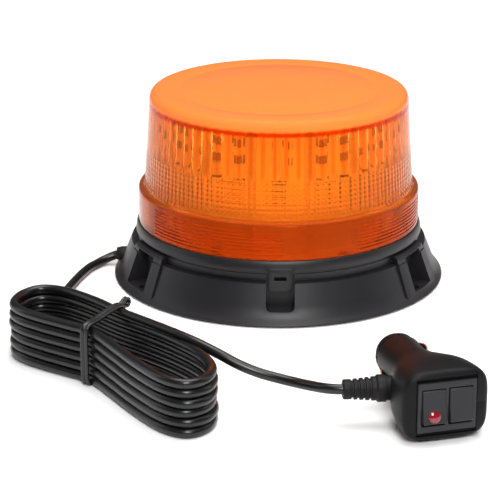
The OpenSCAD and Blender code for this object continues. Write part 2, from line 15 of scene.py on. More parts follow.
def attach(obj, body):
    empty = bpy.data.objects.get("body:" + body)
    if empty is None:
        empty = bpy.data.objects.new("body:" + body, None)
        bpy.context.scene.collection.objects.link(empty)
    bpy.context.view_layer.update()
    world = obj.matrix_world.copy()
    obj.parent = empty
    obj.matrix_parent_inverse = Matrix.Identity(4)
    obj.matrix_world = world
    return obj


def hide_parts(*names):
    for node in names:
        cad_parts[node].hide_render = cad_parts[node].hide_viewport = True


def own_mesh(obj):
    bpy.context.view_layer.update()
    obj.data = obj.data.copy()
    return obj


bl_info = {
    "name": "Warning beacon",
    "version": (1, 0, 0),
    "blender": (4, 5, 0),
    "location": "3D View > Sidebar > Beacon",
    "description": "Builds an amber warning beacon with its cord and socket plug",
    "category": "Add Mesh",
}

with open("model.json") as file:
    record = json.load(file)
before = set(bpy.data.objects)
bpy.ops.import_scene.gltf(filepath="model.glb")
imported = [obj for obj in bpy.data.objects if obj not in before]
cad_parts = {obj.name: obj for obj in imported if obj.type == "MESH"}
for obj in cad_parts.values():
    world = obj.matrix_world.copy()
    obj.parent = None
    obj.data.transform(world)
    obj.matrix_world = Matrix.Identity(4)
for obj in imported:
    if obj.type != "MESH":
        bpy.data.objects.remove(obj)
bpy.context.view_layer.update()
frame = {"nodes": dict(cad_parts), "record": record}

MM = 0.001
HOUSING = "housing"

# The cord's route, from inside the base to the hank, in metres
LEAD_ROUTE = [
    (-0.0666, 0.0085, 0.0056), (-0.071, 0.0085, 0.0056), (-0.077, 0.0085, 0.0056),
    (-0.0815, 0.0084, 0.0044), (-0.086, 0.0064, 0.0029), (-0.09, 0.0016, 0.0022),
    (-0.0932, -0.005, 0.0022), (-0.0957, -0.013, 0.0022), (-0.0982, -0.023, 0.0022),
    (-0.1003, -0.033, 0.0022), (-0.102, -0.044, 0.0022), (-0.103, -0.055, 0.0022),
    (-0.103, -0.066, 0.0022), (-0.1015, -0.077, 0.0022), (-0.098, -0.087, 0.0022),
    (-0.092, -0.096, 0.0022),
]
# One turn of the hank, clockwise from above, from the tie's far side
HANK_LOOP = [
    (-0.07, -0.127), (-0.056, -0.14), (-0.043, -0.154), (-0.033, -0.168), (-0.0285, -0.182),
    (-0.031, -0.194), (-0.039, -0.1995), (-0.049, -0.1935), (-0.0605, -0.177),
    (-0.0706, -0.1596), (-0.0803, -0.1442), (-0.0914, -0.1361), (-0.103, -0.1285),
    (-0.113, -0.1205), (-0.117, -0.112), (-0.114, -0.1025), (-0.106, -0.097),
    (-0.095, -0.101), (-0.082, -0.113),
]
# The cord's route from the top of the hank into the plug's strain relief
TAIL_ROUTE = [
    (-0.043, -0.152, 0.0252), (-0.0345, -0.159, 0.024), (-0.0265, -0.1638, 0.0216),
    (-0.0185, -0.1668, 0.0182), (-0.0105, -0.1685, 0.0154), (-0.0025, -0.1706, 0.0138),
    (0.005, -0.1744, 0.0134), (0.012, -0.1802, 0.0142), (0.018, -0.185, 0.0152),
    (0.0245, -0.1863, 0.0155), (0.034, -0.18546, 0.0155), (0.0445, -0.18454, 0.0155),
]
HANK_TURNS = 6
# Rise of each turn at the loop's near end and at its far end, and the first turn's axis
NEAR_PITCH = 0.0043
FAR_PITCH = 0.004
LAY_HEIGHT = 0.0022
# The point of the loop where the tie crosses it on the near side
TIE_NEAR_POINT = 10
# Turns fall inwards by up to this much, the more the farther they are from the centre
HANK_CENTRE = (-0.073, -0.148)
HANK_SLACK = 0.0011
SLACK_REACH = 0.03
# How far the last turn sinks before it leaves for the plug
LAST_SINK = 0.0004
# Points laid between two points of a route
PATH_STEPS = 6

# The tie: its middle, its turn about the vertical, and its width and gauge round the hank and
# at its twisted end
TIE_AT = Vector((-0.076, -0.1353, 0))
TIE_TURN = math.radians(57)
TIE_STRAP = (0.0042, 0.0015)
TIE_END_STRAP = (0.0026, 0.0012)

# Heights on the lens over which one surface turns into the next, and over which the painted shade
# under the rim begins and ends, in millimetres
COLLAR_TO_WALL = (45, 46.5)
PILLOWS_BEGIN = (46.5, 48)
PILLOWS_END = (63, 65)
FLUTES_BEGIN = (63, 68)
RIM_SHADE_BEGINS = (84.2, 85.4)
RIM_SHADE_ENDS = (86.4, 87.2)
WALL_TO_TOP = (86.5, 88.5)
# Height of one row of the small pillows inside the lens, in millimetres
PILLOW_PITCH = 2.2

# The collar's radius, and half the height that one line takes up, in millimetres
COLLAR_RADIUS = 67.7
PRISM_HALF = 0.42
# The collar's lined panels: where each starts in degrees from the front, and how far it goes
PRISM_STARTS = [-59, 32, 121, 212]
PRISM_SWEEP = 59
# Height of the lowest line, spacing and depth of the lines, in millimetres
PRISM_LOW = 30.7
PRISM_PITCH = 1.62
PRISM_DEPTH = 0.6
# Faces round the lens for each flute, and the radius at which the flutes are cut, in metres
FLUTE_SIDES = 4
FLUTE_RADIUS = 0.0612

# The plug's own frame: its face at y = 0, its nose towards +y, its axis at this height
PLUG_PLACE = Matrix.Translation((0.0638, -0.203, 0.0155)) @ Matrix.Rotation(
    math.radians(16.4), 4, "Z"
)
# Sections of the plug's body: distance from the face, half width, half height, squareness
PLUG_LINE = [
    (0, 16.2, 13.2, 4.4), (0.9, 17.5, 14.4, 4.4), (3.2, 18.3, 15.1, 4), (10, 18.4, 15.2, 3.4),
    (17, 17.4, 14.7, 3), (24, 15, 13.2, 2.6), (30, 12.4, 11.7, 2.3), (35, 10.9, 10.8, 2.1),
    (38.6, 10.3, 10.3, 2),
]
# How far the visible body stays inside those sections, and its wall, in millimetres
PLUG_INSET = 0.12
PLUG_WALL = 2
# Round steps of the plug's nose and the bores through it: radius, start, end, sides
PLUG_STEPS = [(9.9, 36, 52.5, 128), (9.6, 51.5, 54, 128), (8.3, 50, 58, 96)]
PLUG_BORES = [(7.9, 37, 53.5, 96), (6.6, 37, 67, 96)]
# Recesses in the plug's face for the switch frame, and the slot of one side contact
PLUG_RECESSES = [
    ((-12.8, -1, -12.2), (12.8, 1.2, 12.2)), ((-11.8, -1, -9.2), (11.8, 7, 9.2)),
]
CONTACT_SLOT = ((5, 37.7, -2.6), (15, 52.3, 2.6))
CONTACT_TILT = math.radians(-31.5)
# The strain relief's seat: its place, its turn from the plug's side, and its bore's radius
RELIEF_AT = Vector((-14.5, 23.4, 0))
RELIEF_TURN = math.radians(11.4)
RELIEF_BORE = 5.05
# The housing screws, and the boss, the head's well and the shank's hole of each: radius, low
# end, high end and how it is combined
SCREW_PLACES = [(-7, 28), (9.6, 25)]
SCREW_SEAT = [
    (3.2, -10, -0.2, "UNION"), (2.7, -30, -8, "DIFFERENCE"), (1.3, -30, 5, "DIFFERENCE"),
]

# Edges that turn by more than these angles, in degrees, are eased on mouldings and on the plug
MOULDING_ANGLE = 38
PLUG_ANGLE = 40
PLUG_EASE = 0.14

# Mouldings with eased edges: piece, CAD node, width of the easing in millimetres, body, slot
EASED_NODES = [
    ("base_moulding", "base_shell", 0.3, HOUSING, "base_plastic"),
    ("lens_ring", "lens_ring", 0.2, HOUSING, "base_plastic"),
    ("switch_bezel", "switch_frame", 0.3, HOUSING, "switch_plastic"),
    ("power_rocker", "rocker_power", 0.4, "rocker_power", "switch_plastic"),
    ("mode_rocker", "rocker_mode", 0.4, "rocker_mode", "switch_plastic"),
    ("fuse_cap", "nose_cap", 0.2, "nose_cap", "plug_plastic"),
    ("ribbed_strain_relief", "strain_relief", 0.18, HOUSING, "seal_rubber"),
]

# The camera's place and what it looks at in metres, its lens and sensor in millimetres
CAMERA_PLACE = (-0.0138, -0.9358, 0.3341)
CAMERA_TARGET = (-0.0138, 0, 0.0103)
FOCAL_LENGTH = 145.5
SENSOR_WIDTH = 36
# Lights: name, place, what it is aimed at, width and height in metres, watts
LIGHTS = [
    ("overhead_softbox", (0.1, 0.1, 1.5), (0, -0.05, 0), 1.4, 1.2, 24),
    ("front_softbox", (0.1, -1.2, 1.0), (0, 0, 0.05), 0.45, 0.6, 15),
    ("left_strip", (-1.1, 0.1, 0.5), (0, 0, 0.05), 0.4, 0.9, 1.5),
    ("right_strip", (1.1, 0.2, 0.5), (0, 0, 0.05), 0.4, 0.9, 1.5),
]
FLOOR_SIZE = 6
SURROUND_STRENGTH = 0.15


# ---- Settings ----


class BeaconSettings(bpy.types.PropertyGroup):
    """Sizes and colours of the beacon's finished parts."""

    amber: bpy.props.StringProperty(
        name="Lens colour", description="Amber that each face of the lens gives the light that "
        "goes through it, as sRGB hex", default="#FFB24A"
    )
    amber_clear: bpy.props.StringProperty(
        name="Lens tint", description="Tint that each face of the lens gives to lamp light, "
        "as sRGB hex", default="#FFCB86"
    )
    base_grey: bpy.props.StringProperty(
        name="Base colour", description="Grey of the base moulding, as sRGB hex", default="#17171A"
    )
    plug_black: bpy.props.StringProperty(
        name="Plug colour", description="Black of the plug, as sRGB hex", default="#101011"
    )
    cord_black: bpy.props.StringProperty(
        name="Cord colour", description="Black of the cord, as sRGB hex", default="#0B0B0C"
    )
    lamp_red: bpy.props.StringProperty(
        name="Lamp colour", description="Red of the power lamp, as sRGB hex", default="#8C0618"
    )
    flute_count: bpy.props.IntProperty(
        name="Lens flutes", description="Upright flutes inside the lens", default=72, min=24
    )
    flute_depth: bpy.props.FloatProperty(
        name="Flute depth", description="Depth of the lens flutes", default=0.0008,
        subtype="DISTANCE", unit="LENGTH"
    )
    prism_lines: bpy.props.IntProperty(
        name="Prism lines", description="Lines in each collar panel", default=8, min=2
    )
    cord_diameter: bpy.props.FloatProperty(
        name="Cord diameter", description="Outer diameter of the cord", default=0.0043,
        subtype="DISTANCE", unit="LENGTH"
    )


def settings():
    """The scene's beacon settings."""
    return bpy.context.scene.beacon


# ---- Materials ----


def linear(hex_colour):
    """An sRGB hex colour as linear red, green, blue and alpha."""
    parts = [int(hex_colour[i : i + 2], 16) / 255 for i in (1, 3, 5)]
    return [c / 12.92 if c <= 0.04045 else ((c + 0.055) / 1.055) ** 2.4 for c in parts] + [1.0]


def shade(colour, factor):
    """A linear colour made lighter or darker."""
    return [min(1.0, c * factor) for c in colour[:3]] + [1.0]


def add_node(tree, kind, inputs=None, links=None, **values):
    """Adds a node, sets its properties and inputs, and links other nodes' sockets into it."""
    node = tree.nodes.new(kind)
    for name, value in values.items():
        setattr(node, name, value)
    for name, value in (inputs or {}).items():
        node.inputs[name].default_value = value
    for name, socket in (links or {}).items():
        tree.links.new(socket, node.inputs[name])
    return node


def new_material(name, **shader):
    """A material with one Principled shader whose constant sockets are set directly."""
    material = bpy.data.materials.new(name)
    material.use_nodes = True
    tree = material.node_tree
    principled = tree.nodes["Principled BSDF"]
    for socket, value in shader.items():
        principled.inputs[socket.replace("_", " ")].default_value = value
    return material, tree, principled


def object_point(tree):
    """The point on the piece, in metres, in the frame of the whole object."""
    return add_node(tree, "ShaderNodeTexCoord").outputs["Object"]


def noise(tree, point, size_mm, detail=2.0):
    """Noise whose features are about this many millimetres across."""
    node = add_node(
        tree, "ShaderNodeTexNoise", {"Scale": 1 / (size_mm * MM), "Detail": detail},
        {"Vector": point}
    )
    return node.outputs["Fac"]


def two_tone(tree, first, second, factor, start=0.35, end=0.65):
    """The colour between two colours, by a factor."""
    ramp = add_node(tree, "ShaderNodeValToRGB", None, {"Fac": factor})
    for element, position, colour in zip(
        ramp.color_ramp.elements, (start, end), (first, second)
    ):
        element.position = position
        element.color = colour
    return ramp.outputs["Color"]


def between(tree, factor, low, high):
    """A factor from 0 to 1 spread over a range."""
    node = add_node(
        tree, "ShaderNodeMapRange", {"To Min": low, "To Max": high}, {"Value": factor}
    )
    return node.outputs["Result"]


def bumped(tree, principled, height, depth_mm):
    """Raises the surface by a height pattern of this depth."""
    bump = add_node(
        tree, "ShaderNodeBump", {"Distance": depth_mm * MM}, {"Height": height}
    )
    tree.links.new(bump.outputs["Normal"], principled.inputs["Normal"])


def moulded(name, colour, grain_mm, grain_depth, roughness, spread=0.06, mottle_mm=18, **shader):
    """A moulded plastic or rubber: fine tool grain, slight unevenness of tone and gloss."""
    material, tree, principled = new_material(name, **shader)
    point = object_point(tree)
    mottle = noise(tree, point, mottle_mm, 3.0)
    base = linear(colour)
    tone = two_tone(tree, shade(base, 1 - spread), shade(base, 1 + spread), mottle)
    tree.links.new(tone, principled.inputs["Base Color"])
    gloss = between(tree, mottle, roughness - 0.04, roughness + 0.04)
    tree.links.new(gloss, principled.inputs["Roughness"])
    bumped(tree, principled, noise(tree, point, grain_mm), grain_depth)
    return material


def metal(name, colour, roughness, mark_mm=0.6, mark_depth=0.006):
    """A plated or bare metal with fine rubbing marks and cloudy gloss."""
    material, tree, principled = new_material(name, Metallic=1.0)
    point = object_point(tree)
    marks = noise(tree, point, mark_mm, 4.0)
    base = linear(colour)
    tone = two_tone(tree, shade(base, 0.93), shade(base, 1.04), noise(tree, point, 6.0))
    tree.links.new(tone, principled.inputs["Base Color"])
    gloss = between(tree, marks, roughness * 0.7, roughness * 1.3)
    tree.links.new(gloss, principled.inputs["Roughness"])
    bumped(tree, principled, marks, mark_depth)
    return material


def math_node(tree, operation, first, second=None):
    """One sum on sockets or numbers."""
    node = add_node(tree, "ShaderNodeMath", operation=operation)
    for index, value in enumerate((first, second)):
        if isinstance(value, (int, float)):
            node.inputs[index].default_value = value
        elif value is not None:
            tree.links.new(value, node.inputs[index])
    return node.outputs["Value"]


def level(tree, height, low_mm, high_mm):
    """Rises softly from 0 to 1 between two heights."""
    node = add_node(
        tree, "ShaderNodeMapRange", {"From Min": low_mm * MM, "From Max": high_mm * MM},
        {"Value": height}, interpolation_type="SMOOTHSTEP"
    )
    return node.outputs["Result"]


def deepened(tree, tone, factor, colour):
    """A tone turned towards a deeper colour by a factor."""
    return add_node(
        tree, "ShaderNodeMixRGB", {"Color2": colour}, {"Fac": factor, "Color1": tone}
    ).outputs["Color"]


def lens_polycarbonate():
    """Amber polycarbonate: glossy skin, orange body, deeper where the wall is thick.

    The top and the collar scatter more light than the wall, so they look like solid orange. The
    collar is also painted a deeper red as shade, and a band under the rim is painted darker as
    shade.
    """
    # Reflections are weak and amber, which keeps the white surround out of the body
    material, tree, principled = new_material(
        "amber polycarbonate", IOR=1.3, Specular_IOR_Level=0.12,
        Specular_Tint=linear("#FF8A2C")
    )
    own = settings()
    point = object_point(tree)
    axes = add_node(tree, "ShaderNodeSeparateXYZ", None, {"Vector": point}).outputs
    angle = math_node(tree, "ARCTAN2", axes["Y"], axes["X"])
    top = level(tree, axes["Z"], *WALL_TO_TOP)
    collar = math_node(tree, "SUBTRACT", 1, level(tree, axes["Z"], *COLLAR_TO_WALL))

    # Upright flutes down to mid height, which end softly
    wave = math_node(tree, "COSINE", math_node(tree, "MULTIPLY", angle, own.flute_count))
    ribs = between(tree, math_node(tree, "MULTIPLY", wave, -1), 0, 1)
    fluted = math_node(
        tree, "MULTIPLY", level(tree, axes["Z"], *FLUTES_BEGIN),
        math_node(tree, "SUBTRACT", 1, top),
    )
    ribs = math_node(tree, "MULTIPLY", ribs, fluted)

    # Small pillows in rows below the flutes
    across = math_node(
        tree, "SINE", math_node(tree, "MULTIPLY", angle, 2 * own.flute_count)
    )
    pitch = 2 * math.pi / (PILLOW_PITCH * MM)
    up = math_node(tree, "SINE", math_node(tree, "MULTIPLY", axes["Z"], pitch))
    pillowed = math_node(
        tree, "MULTIPLY", level(tree, axes["Z"], *PILLOWS_BEGIN),
        math_node(tree, "SUBTRACT", 1, level(tree, axes["Z"], *PILLOWS_END)),
    )
    pillows = math_node(tree, "MULTIPLY", math_node(tree, "ADD", across, up), pillowed)
    dots = math_node(tree, "MULTIPLY", math_node(tree, "MULTIPLY", across, up), pillowed)
    dots = level(tree, math_node(tree, "MULTIPLY", dots, MM), 0.55, 0.95)

    flow = noise(tree, point, 14.0)
    base = linear(own.amber)
    tone = two_tone(tree, shade(base, 0.97), base, flow)
    # A band under the rim, painted darker as shade
    painted_rim_shade = math_node(
        tree, "MULTIPLY", level(tree, axes["Z"], *RIM_SHADE_BEGINS),
        math_node(tree, "SUBTRACT", 1, level(tree, axes["Z"], *RIM_SHADE_ENDS)),
    )
    # Deeper tones: between the flutes, on the pillow dots, a painted shade under the rim, a
    # painted shade on the collar for the dark inside behind it, and a redder top
    for share, strength, colour in (
        (ribs, 0.45, "#E8560A"), (dots, 0.6, "#E8560A"), (painted_rim_shade, 1, "#D84E08"),
        (collar, 0.85, "#B4400A"), (top, 0.8, "#F58A46"),
    ):
        factor = math_node(tree, "MULTIPLY", share, strength)
        tone = deepened(tree, tone, factor, linear(colour))
    tree.links.new(tone, principled.inputs["Base Color"])
    tree.links.new(between(tree, flow, 0.06, 0.12), principled.inputs["Roughness"])
    cloud = math_node(
        tree, "ADD", math_node(tree, "MULTIPLY", top, 0.6),
        math_node(tree, "MULTIPLY", collar, 0.12),
    )
    tree.links.new(
        math_node(tree, "SUBTRACT", 0.9, cloud), principled.inputs["Transmission Weight"]
    )
    bumped(tree, principled, pillows, 0.12)

    # Lamp light goes through the wall, so what is inside is lit
    clear = add_node(tree, "ShaderNodeBsdfTransparent", {"Color": linear(own.amber_clear)})
    rays = add_node(tree, "ShaderNodeLightPath")
    blend = add_node(tree, "ShaderNodeMixShader", None, {"Fac": rays.outputs["Is Shadow Ray"]})
    tree.links.new(principled.outputs["BSDF"], blend.inputs[1])
    tree.links.new(clear.outputs["BSDF"], blend.inputs[2])
    tree.links.new(blend.outputs["Shader"], tree.nodes["Material Output"].inputs["Surface"])
    return material


def cast_aluminium():
    """Die-cast aluminium: pale dull grey with a sandy skin."""
    material, tree, principled = new_material("die-cast aluminium", Metallic=0.35)
    point = object_point(tree)
    skin = noise(tree, point, 1.2, 4.0)
    base = linear("#DEDEDF")
    tree.links.new(
        two_tone(tree, shade(base, 0.85), base, skin), principled.inputs["Base Color"]
    )
    tree.links.new(between(tree, skin, 0.4, 0.6), principled.inputs["Roughness"])
    bumped(tree, principled, skin, 0.03)
    return material


def circuit_board(name, mask, copper, pitch_mm):
    """Solder mask over copper tracks, which show as a slightly lighter raised pattern."""
    material, tree, principled = new_material(name, Roughness=0.3, Coat_Weight=0.3)
    point = object_point(tree)
    tracks = add_node(
        tree, "ShaderNodeTexBrick",
        {"Scale": 1 / (pitch_mm * MM * 8), "Mortar Size": 0.02, "Color1": (1, 1, 1, 1),
         "Color2": (0.9, 0.9, 0.9, 1), "Mortar": (0, 0, 0, 1)},
        {"Vector": point},
    ).outputs["Color"]
    tone = two_tone(tree, linear(copper), linear(mask), tracks, 0.1, 0.9)
    tree.links.new(tone, principled.inputs["Base Color"])
    bumped(tree, principled, tracks, 0.03)
    return material


def speckled(name, colour, dark, light, size_mm, depth_mm, detail=2.0, **shader):
    """A body whose tone varies in fine specks, which also give it a slight relief."""
    material, tree, principled = new_material(name, **shader)
    specks = noise(tree, object_point(tree), size_mm, detail)
    base = linear(colour)
    tone = two_tone(tree, shade(base, dark), shade(base, light), specks)
    tree.links.new(tone, principled.inputs["Base Color"])
    bumped(tree, principled, specks, depth_mm)
    return material


def make_finishes():
    """Every material, by the slot that the record gives it."""
    own = settings()
    return {
        "lens_amber": lens_polycarbonate(),
        # Satin dark grey housing plastic, with a fine spark-eroded grain
        "base_plastic": moulded(
            "dark grey ABS", own.base_grey, 0.35, 0.012, 0.42, Specular_IOR_Level=0.45
        ),
        # Matt black rubber that looks dusty and soft
        "seal_rubber": moulded(
            "black rubber", "#0E0E0F", 0.5, 0.02, 0.55, 0.12, Specular_IOR_Level=0.25
        ),
        # Bright bluish grey of the screws
        "zinc_steel": metal("zinc-plated steel", "#B9BBBE", 0.3),
        # Dull dark grey, grainy like fired clay
        "ferrite": moulded("sintered ferrite", "#3A3B40", 0.6, 0.04, 0.55, 0.15, 5),
        "cast_aluminium": cast_aluminium(),
        # White board that throws the lamp light back
        "board_mask": circuit_board("white solder mask", "#F0F0EC", "#DAD9CF", 1.2),
        # Dark amber die and phosphor under clear silicone, with a finely grainy body
        "phosphor": speckled(
            "phosphor in silicone", "#8A5A20", 0.75, 1, 0.25, 0.01, Roughness=0.2,
            Coat_Weight=0.6,
        ),
        # Black moulding compound, flat with a chalky bloom
        "component_black": moulded("moulded epoxy", "#1E1E20", 0.2, 0.01, 0.5, 0.15, 3),
        # Bright white reflector plastic
        "white_plastic": moulded("white ABS", "#F2F1EC", 0.6, 0.01, 0.25, 0.02),
        # Green board with paler tracks
        "green_board": circuit_board("green solder mask", "#0F5A30", "#2E7A48", 1.0),
        # Warm yellow metal with a soft gloss
        "brass": metal("machined brass", "#C8A460", 0.25),
        # Pale silvery can with a soft sheen
        "capacitor_can": metal("drawn aluminium can", "#C4C6CA", 0.22),
        # Slightly waxy green
        "terminal_green": moulded("green polyamide", "#1F7A40", 0.4, 0.01, 0.4),
        # Satin red insulation, finely uneven in tone
        "wire_sheath": speckled(
            "red wire insulation", "#A01818", 0.8, 1.1, 0.8, 0.01, 3.0, Roughness=0.35
        ),
        # Shiny black vinyl that gives the cord its long highlights
        "cord_sheath": moulded(
            "black vinyl sheath", own.cord_black, 1.6, 0.012, 0.3, 0.1, 30
        ),
        # The same shiny vinyl, a touch greyer
        "tie_plastic": moulded("black vinyl tie", "#121213", 0.8, 0.01, 0.3, 0.1),
        # Satin black of the plug's body and cap
        "plug_plastic": moulded(
            "black ABS", own.plug_black, 0.4, 0.012, 0.48, Specular_IOR_Level=0.16
        ),
        # Bright silvery contacts with a soft gloss
        "nickel": metal("nickel plate", "#E2E1DC", 0.34),
        # Bluish grey drawn wire
        "spring_steel": metal("spring steel", "#A9AAAE", 0.25),
        # Clear glass tube with faint drawing waviness
        "fuse_glass": speckled(
            "fuse glass", "#E6F0F2", 0.95, 1, 2.5, 0.02, IOR=1.5, Roughness=0.03,
            Transmission_Weight=0.95,
        ),
        # Matt black polyamide of the switches, a little greyer than the plug
        "switch_plastic": moulded(
            "black polyamide", "#262628", 0.3, 0.015, 0.45, Specular_IOR_Level=0.35
        ),
        # Brown laminate, flat with a resinous mottle
        "phenolic": moulded("brown phenolic", "#5A3A22", 1.0, 0.02, 0.45, 0.2, 4),
        # Clear red plastic dome: deep red body under a wet gloss
        "lamp_red": speckled(
            "clear red acrylic", own.lamp_red, 0.7, 1.15, 1.5, 0.01, Roughness=0.15,
            Coat_Weight=0.8, Coat_Roughness=0.03,
        ),
    }


# ---- Shaping ----


def deselect():
    """Returns to object mode with nothing selected."""
    if bpy.context.object and bpy.context.object.mode != "OBJECT":
        bpy.ops.object.mode_set(mode="OBJECT")
    bpy.ops.object.select_all(action="DESELECT")


def activate(piece):
    """Selects one object alone and makes it active."""
    deselect()
    piece.select_set(True)
    bpy.context.view_layer.objects.active = piece


def apply_place(piece):
    """Moves an object's placement into its vertices."""
    activate(piece)
    bpy.ops.object.transform_apply(location=True, rotation=True, scale=True)


def apply_modifier(piece, kind, **values):
    """Adds a modifier, sets it and applies it."""
    activate(piece)
    modifier = piece.modifiers.new(kind.title(), kind)
    for name, value in values.items():
        setattr(modifier, name, value)
    bpy.ops.object.modifier_apply(modifier=modifier.name)


def clean(piece, distance=2e-6):
    """Merges doubled vertices and turns every face outwards."""
    activate(piece)
    bpy.ops.object.mode_set(mode="EDIT")
    bpy.ops.mesh.select_all(action="SELECT")
    bpy.ops.mesh.remove_doubles(threshold=distance)
    bpy.ops.mesh.normals_make_consistent(inside=False)
    bpy.ops.object.mode_set(mode="OBJECT")


def smooth(piece, degrees=35):
    """Smooth shading with edges left sharp above an angle."""
    activate(piece)
    bpy.ops.object.shade_smooth_by_angle(angle=math.radians(degrees))


def finish_piece(piece, body, slot, finishes, replaced=()):
    """Gives a piece the material of its slot, attaches it to its body and hides the CAD nodes that
    it stands for.
    """
    piece.data.materials.clear()
    piece.data.materials.append(finishes[slot])
    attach(piece, body)
    if replaced:
        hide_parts(*replaced)
    return piece


def skin_object(name, rings, closed=False):
    """A mesh through rings of equal length; its ends are filled unless it closes on itself."""
    sides = len(rings[0])
    count = len(rings)
    faces = []
    for i in range(count if closed else count - 1):
        for k in range(sides):
            here, ahead = i * sides, ((i + 1) % count) * sides
            faces.append((here + k, here + (k + 1) % sides, ahead + (k + 1) % sides, ahead + k))
    if not closed:
        faces.append(tuple(range(sides - 1, -1, -1)))
        faces.append(tuple((count - 1) * sides + k for k in range(sides)))
    mesh = bpy.data.meshes.new(name)
    mesh.from_pydata([tuple(p) for ring in rings for p in ring], [], faces)
    piece = bpy.data.objects.new(name, mesh)
    bpy.context.collection.objects.link(piece)
    clean(piece, distance=1e-7)
    return piece


def lathe(name, profile, sides):
    """A solid of revolution about Z, from an outline of (radius, height) in millimetres."""
    deselect()
    bpy.ops.mesh.primitive_circle_add(
        vertices=sides, radius=profile[0][0] * MM, location=(0, 0, profile[0][1] * MM)
    )
    piece = bpy.context.object
    piece.name = name
    apply_place(piece)
    bpy.ops.object.mode_set(mode="EDIT")
    bpy.ops.mesh.select_all(action="SELECT")
    bpy.ops.mesh.edge_face_add()
    bpy.ops.mesh.select_mode(type="EDGE")
    for before, after in zip(profile, profile[1:]):
        bpy.ops.mesh.extrude_edges_move()
        grow = after[0] / before[0]
        bpy.ops.transform.resize(value=(grow, grow, 1), center_override=(0, 0, 0))
        bpy.ops.transform.translate(value=(0, 0, (after[1] - before[1]) * MM))
    bpy.ops.mesh.edge_face_add()
    bpy.ops.object.mode_set(mode="OBJECT")
    return piece


def push_ring(piece, chosen, factor):
    """Scales chosen vertices about the Z axis, chosen by angle in degrees, radius and height."""
    activate(piece)
    bpy.ops.object.mode_set(mode="EDIT")
    bpy.ops.mesh.select_mode(type="VERT")
    bpy.ops.mesh.select_all(action="DESELECT")
    mesh = bmesh.from_edit_mesh(piece.data)
    for vertex in mesh.verts:
        x, y, z = vertex.co
        angle = math.degrees(math.atan2(x, -y))
        vertex.select = chosen(angle, math.hypot(x, y) / MM, z / MM)
    mesh.select_flush(True)
    bmesh.update_edit_mesh(piece.data)
    bpy.ops.transform.resize(value=(factor, factor, 1), center_override=(0, 0, 0))
    bpy.ops.object.mode_set(mode="OBJECT")


def ease_edges(piece, width_mm, angle):
    """Rounds the edges that turn by more than an angle in degrees."""
    apply_modifier(
        piece, "BEVEL", width=width_mm * MM, segments=2, limit_method="ANGLE",
        angle_limit=math.radians(angle), use_clamp_overlap=True,
    )


def copied_node(name, node):
    """A merged copy of a CAD node's mesh, without the normals that it came with."""
    source = frame["nodes"][node]
    piece = bpy.data.objects.new(name, source.data.copy())
    bpy.context.collection.objects.link(piece)
    piece.matrix_world = source.matrix_world
    activate(piece)
    bpy.ops.mesh.customdata_custom_splitnormals_clear()
    clean(piece)
    return piece


def eased_node(name, node, width_mm, body, slot, finishes):
    """A copy of a CAD node with its sharp edges eased, which stands for the node."""
    piece = copied_node(name, node)
    ease_edges(piece, width_mm, MOULDING_ANGLE)
    smooth(piece)
    return finish_piece(piece, body, slot, finishes, [node])


def cutter_box(low, high):
    """A box between two corners in the plug's frame, in millimetres."""
    deselect()
    centre = [(a + b) / 2 * MM for a, b in zip(low, high)]
    size = [(b - a) * MM for a, b in zip(low, high)]
    bpy.ops.mesh.primitive_cube_add(size=1, location=centre)
    piece = bpy.context.object
    piece.scale = size
    apply_place(piece)
    return piece


def cutter_rod(radius, start, end, sides=96):
    """A round rod between two points in the plug's frame, in millimetres."""
    deselect()
    start, end = Vector(start) * MM, Vector(end) * MM
    along = end - start
    bpy.ops.mesh.primitive_cylinder_add(
        vertices=sides, radius=radius * MM, depth=along.length, location=(start + end) / 2,
        rotation=along.to_track_quat("Z", "Y").to_euler(),
    )
    piece = bpy.context.object
    apply_place(piece)
    return piece


def combine(piece, other, operation):
    """Applies one boolean and removes the other object."""
    apply_modifier(piece, "BOOLEAN", object=other, operation=operation, solver="EXACT")
    bpy.data.objects.remove(other, do_unlink=True)


# ---- Curves ----


def smooth_path(points, steps, closed=False):
    """Points of a smooth line through the given points."""
    points = [Vector(p) for p in points]
    count = len(points)
    path = []
    for i in range(count if closed else count - 1):
        if closed:
            a, b, c, d = (points[(i + k) % count] for k in (-1, 0, 1, 2))
        else:
            a, b, c, d = (points[min(max(i + k, 0), count - 1)] for k in (-1, 0, 1, 2))
        for k in range(steps):
            t = k / steps
            path.append(
                0.5 * (2 * b + (c - a) * t + (2 * a - 5 * b + 4 * c - d) * t * t
                       + (3 * b - a - 3 * c + d) * t ** 3)
            )
    if not closed:
        path.append(points[-1])
    return path


def eased(t):
    """A step from 0 to 1 with a soft start and end."""
    return t * t * (3 - 2 * t)


def hank_points():
    """The cord's turns in the hank, each a little different from the last."""
    centre = Vector(HANK_CENTRE)
    points = []
    for turn in range(HANK_TURNS):
        far = LAY_HEIGHT + FAR_PITCH * turn
        near = LAY_HEIGHT + NEAR_PITCH * turn
        for i, place in enumerate(HANK_LOOP):
            if i <= TIE_NEAR_POINT:
                height = far + (near - far) * eased(i / TIE_NEAR_POINT)
            else:
                climb = eased((i - TIE_NEAR_POINT) / (len(HANK_LOOP) - TIE_NEAR_POINT))
                height = near + (far + FAR_PITCH - near) * climb
            spot = Vector(place)
            away = spot - centre
            slack = HANK_SLACK * (0.5 + 0.5 * math.sin(2.3 * turn + 0.7 * i)) * min(
                1.0, max(0.0, (away.length - SLACK_REACH) / SLACK_REACH)
            )
            spot -= away.normalized() * slack
            points.append((spot.x, spot.y, height))
    top = LAY_HEIGHT + FAR_PITCH * HANK_TURNS
    points.append((*HANK_LOOP[0], top))
    points.append((*HANK_LOOP[1], top - LAST_SINK))
    return points


def path_length(path):
    """Length of a line through points."""
    return sum((b - a).length for a, b in zip(path, path[1:]))


# ---- Parts ----


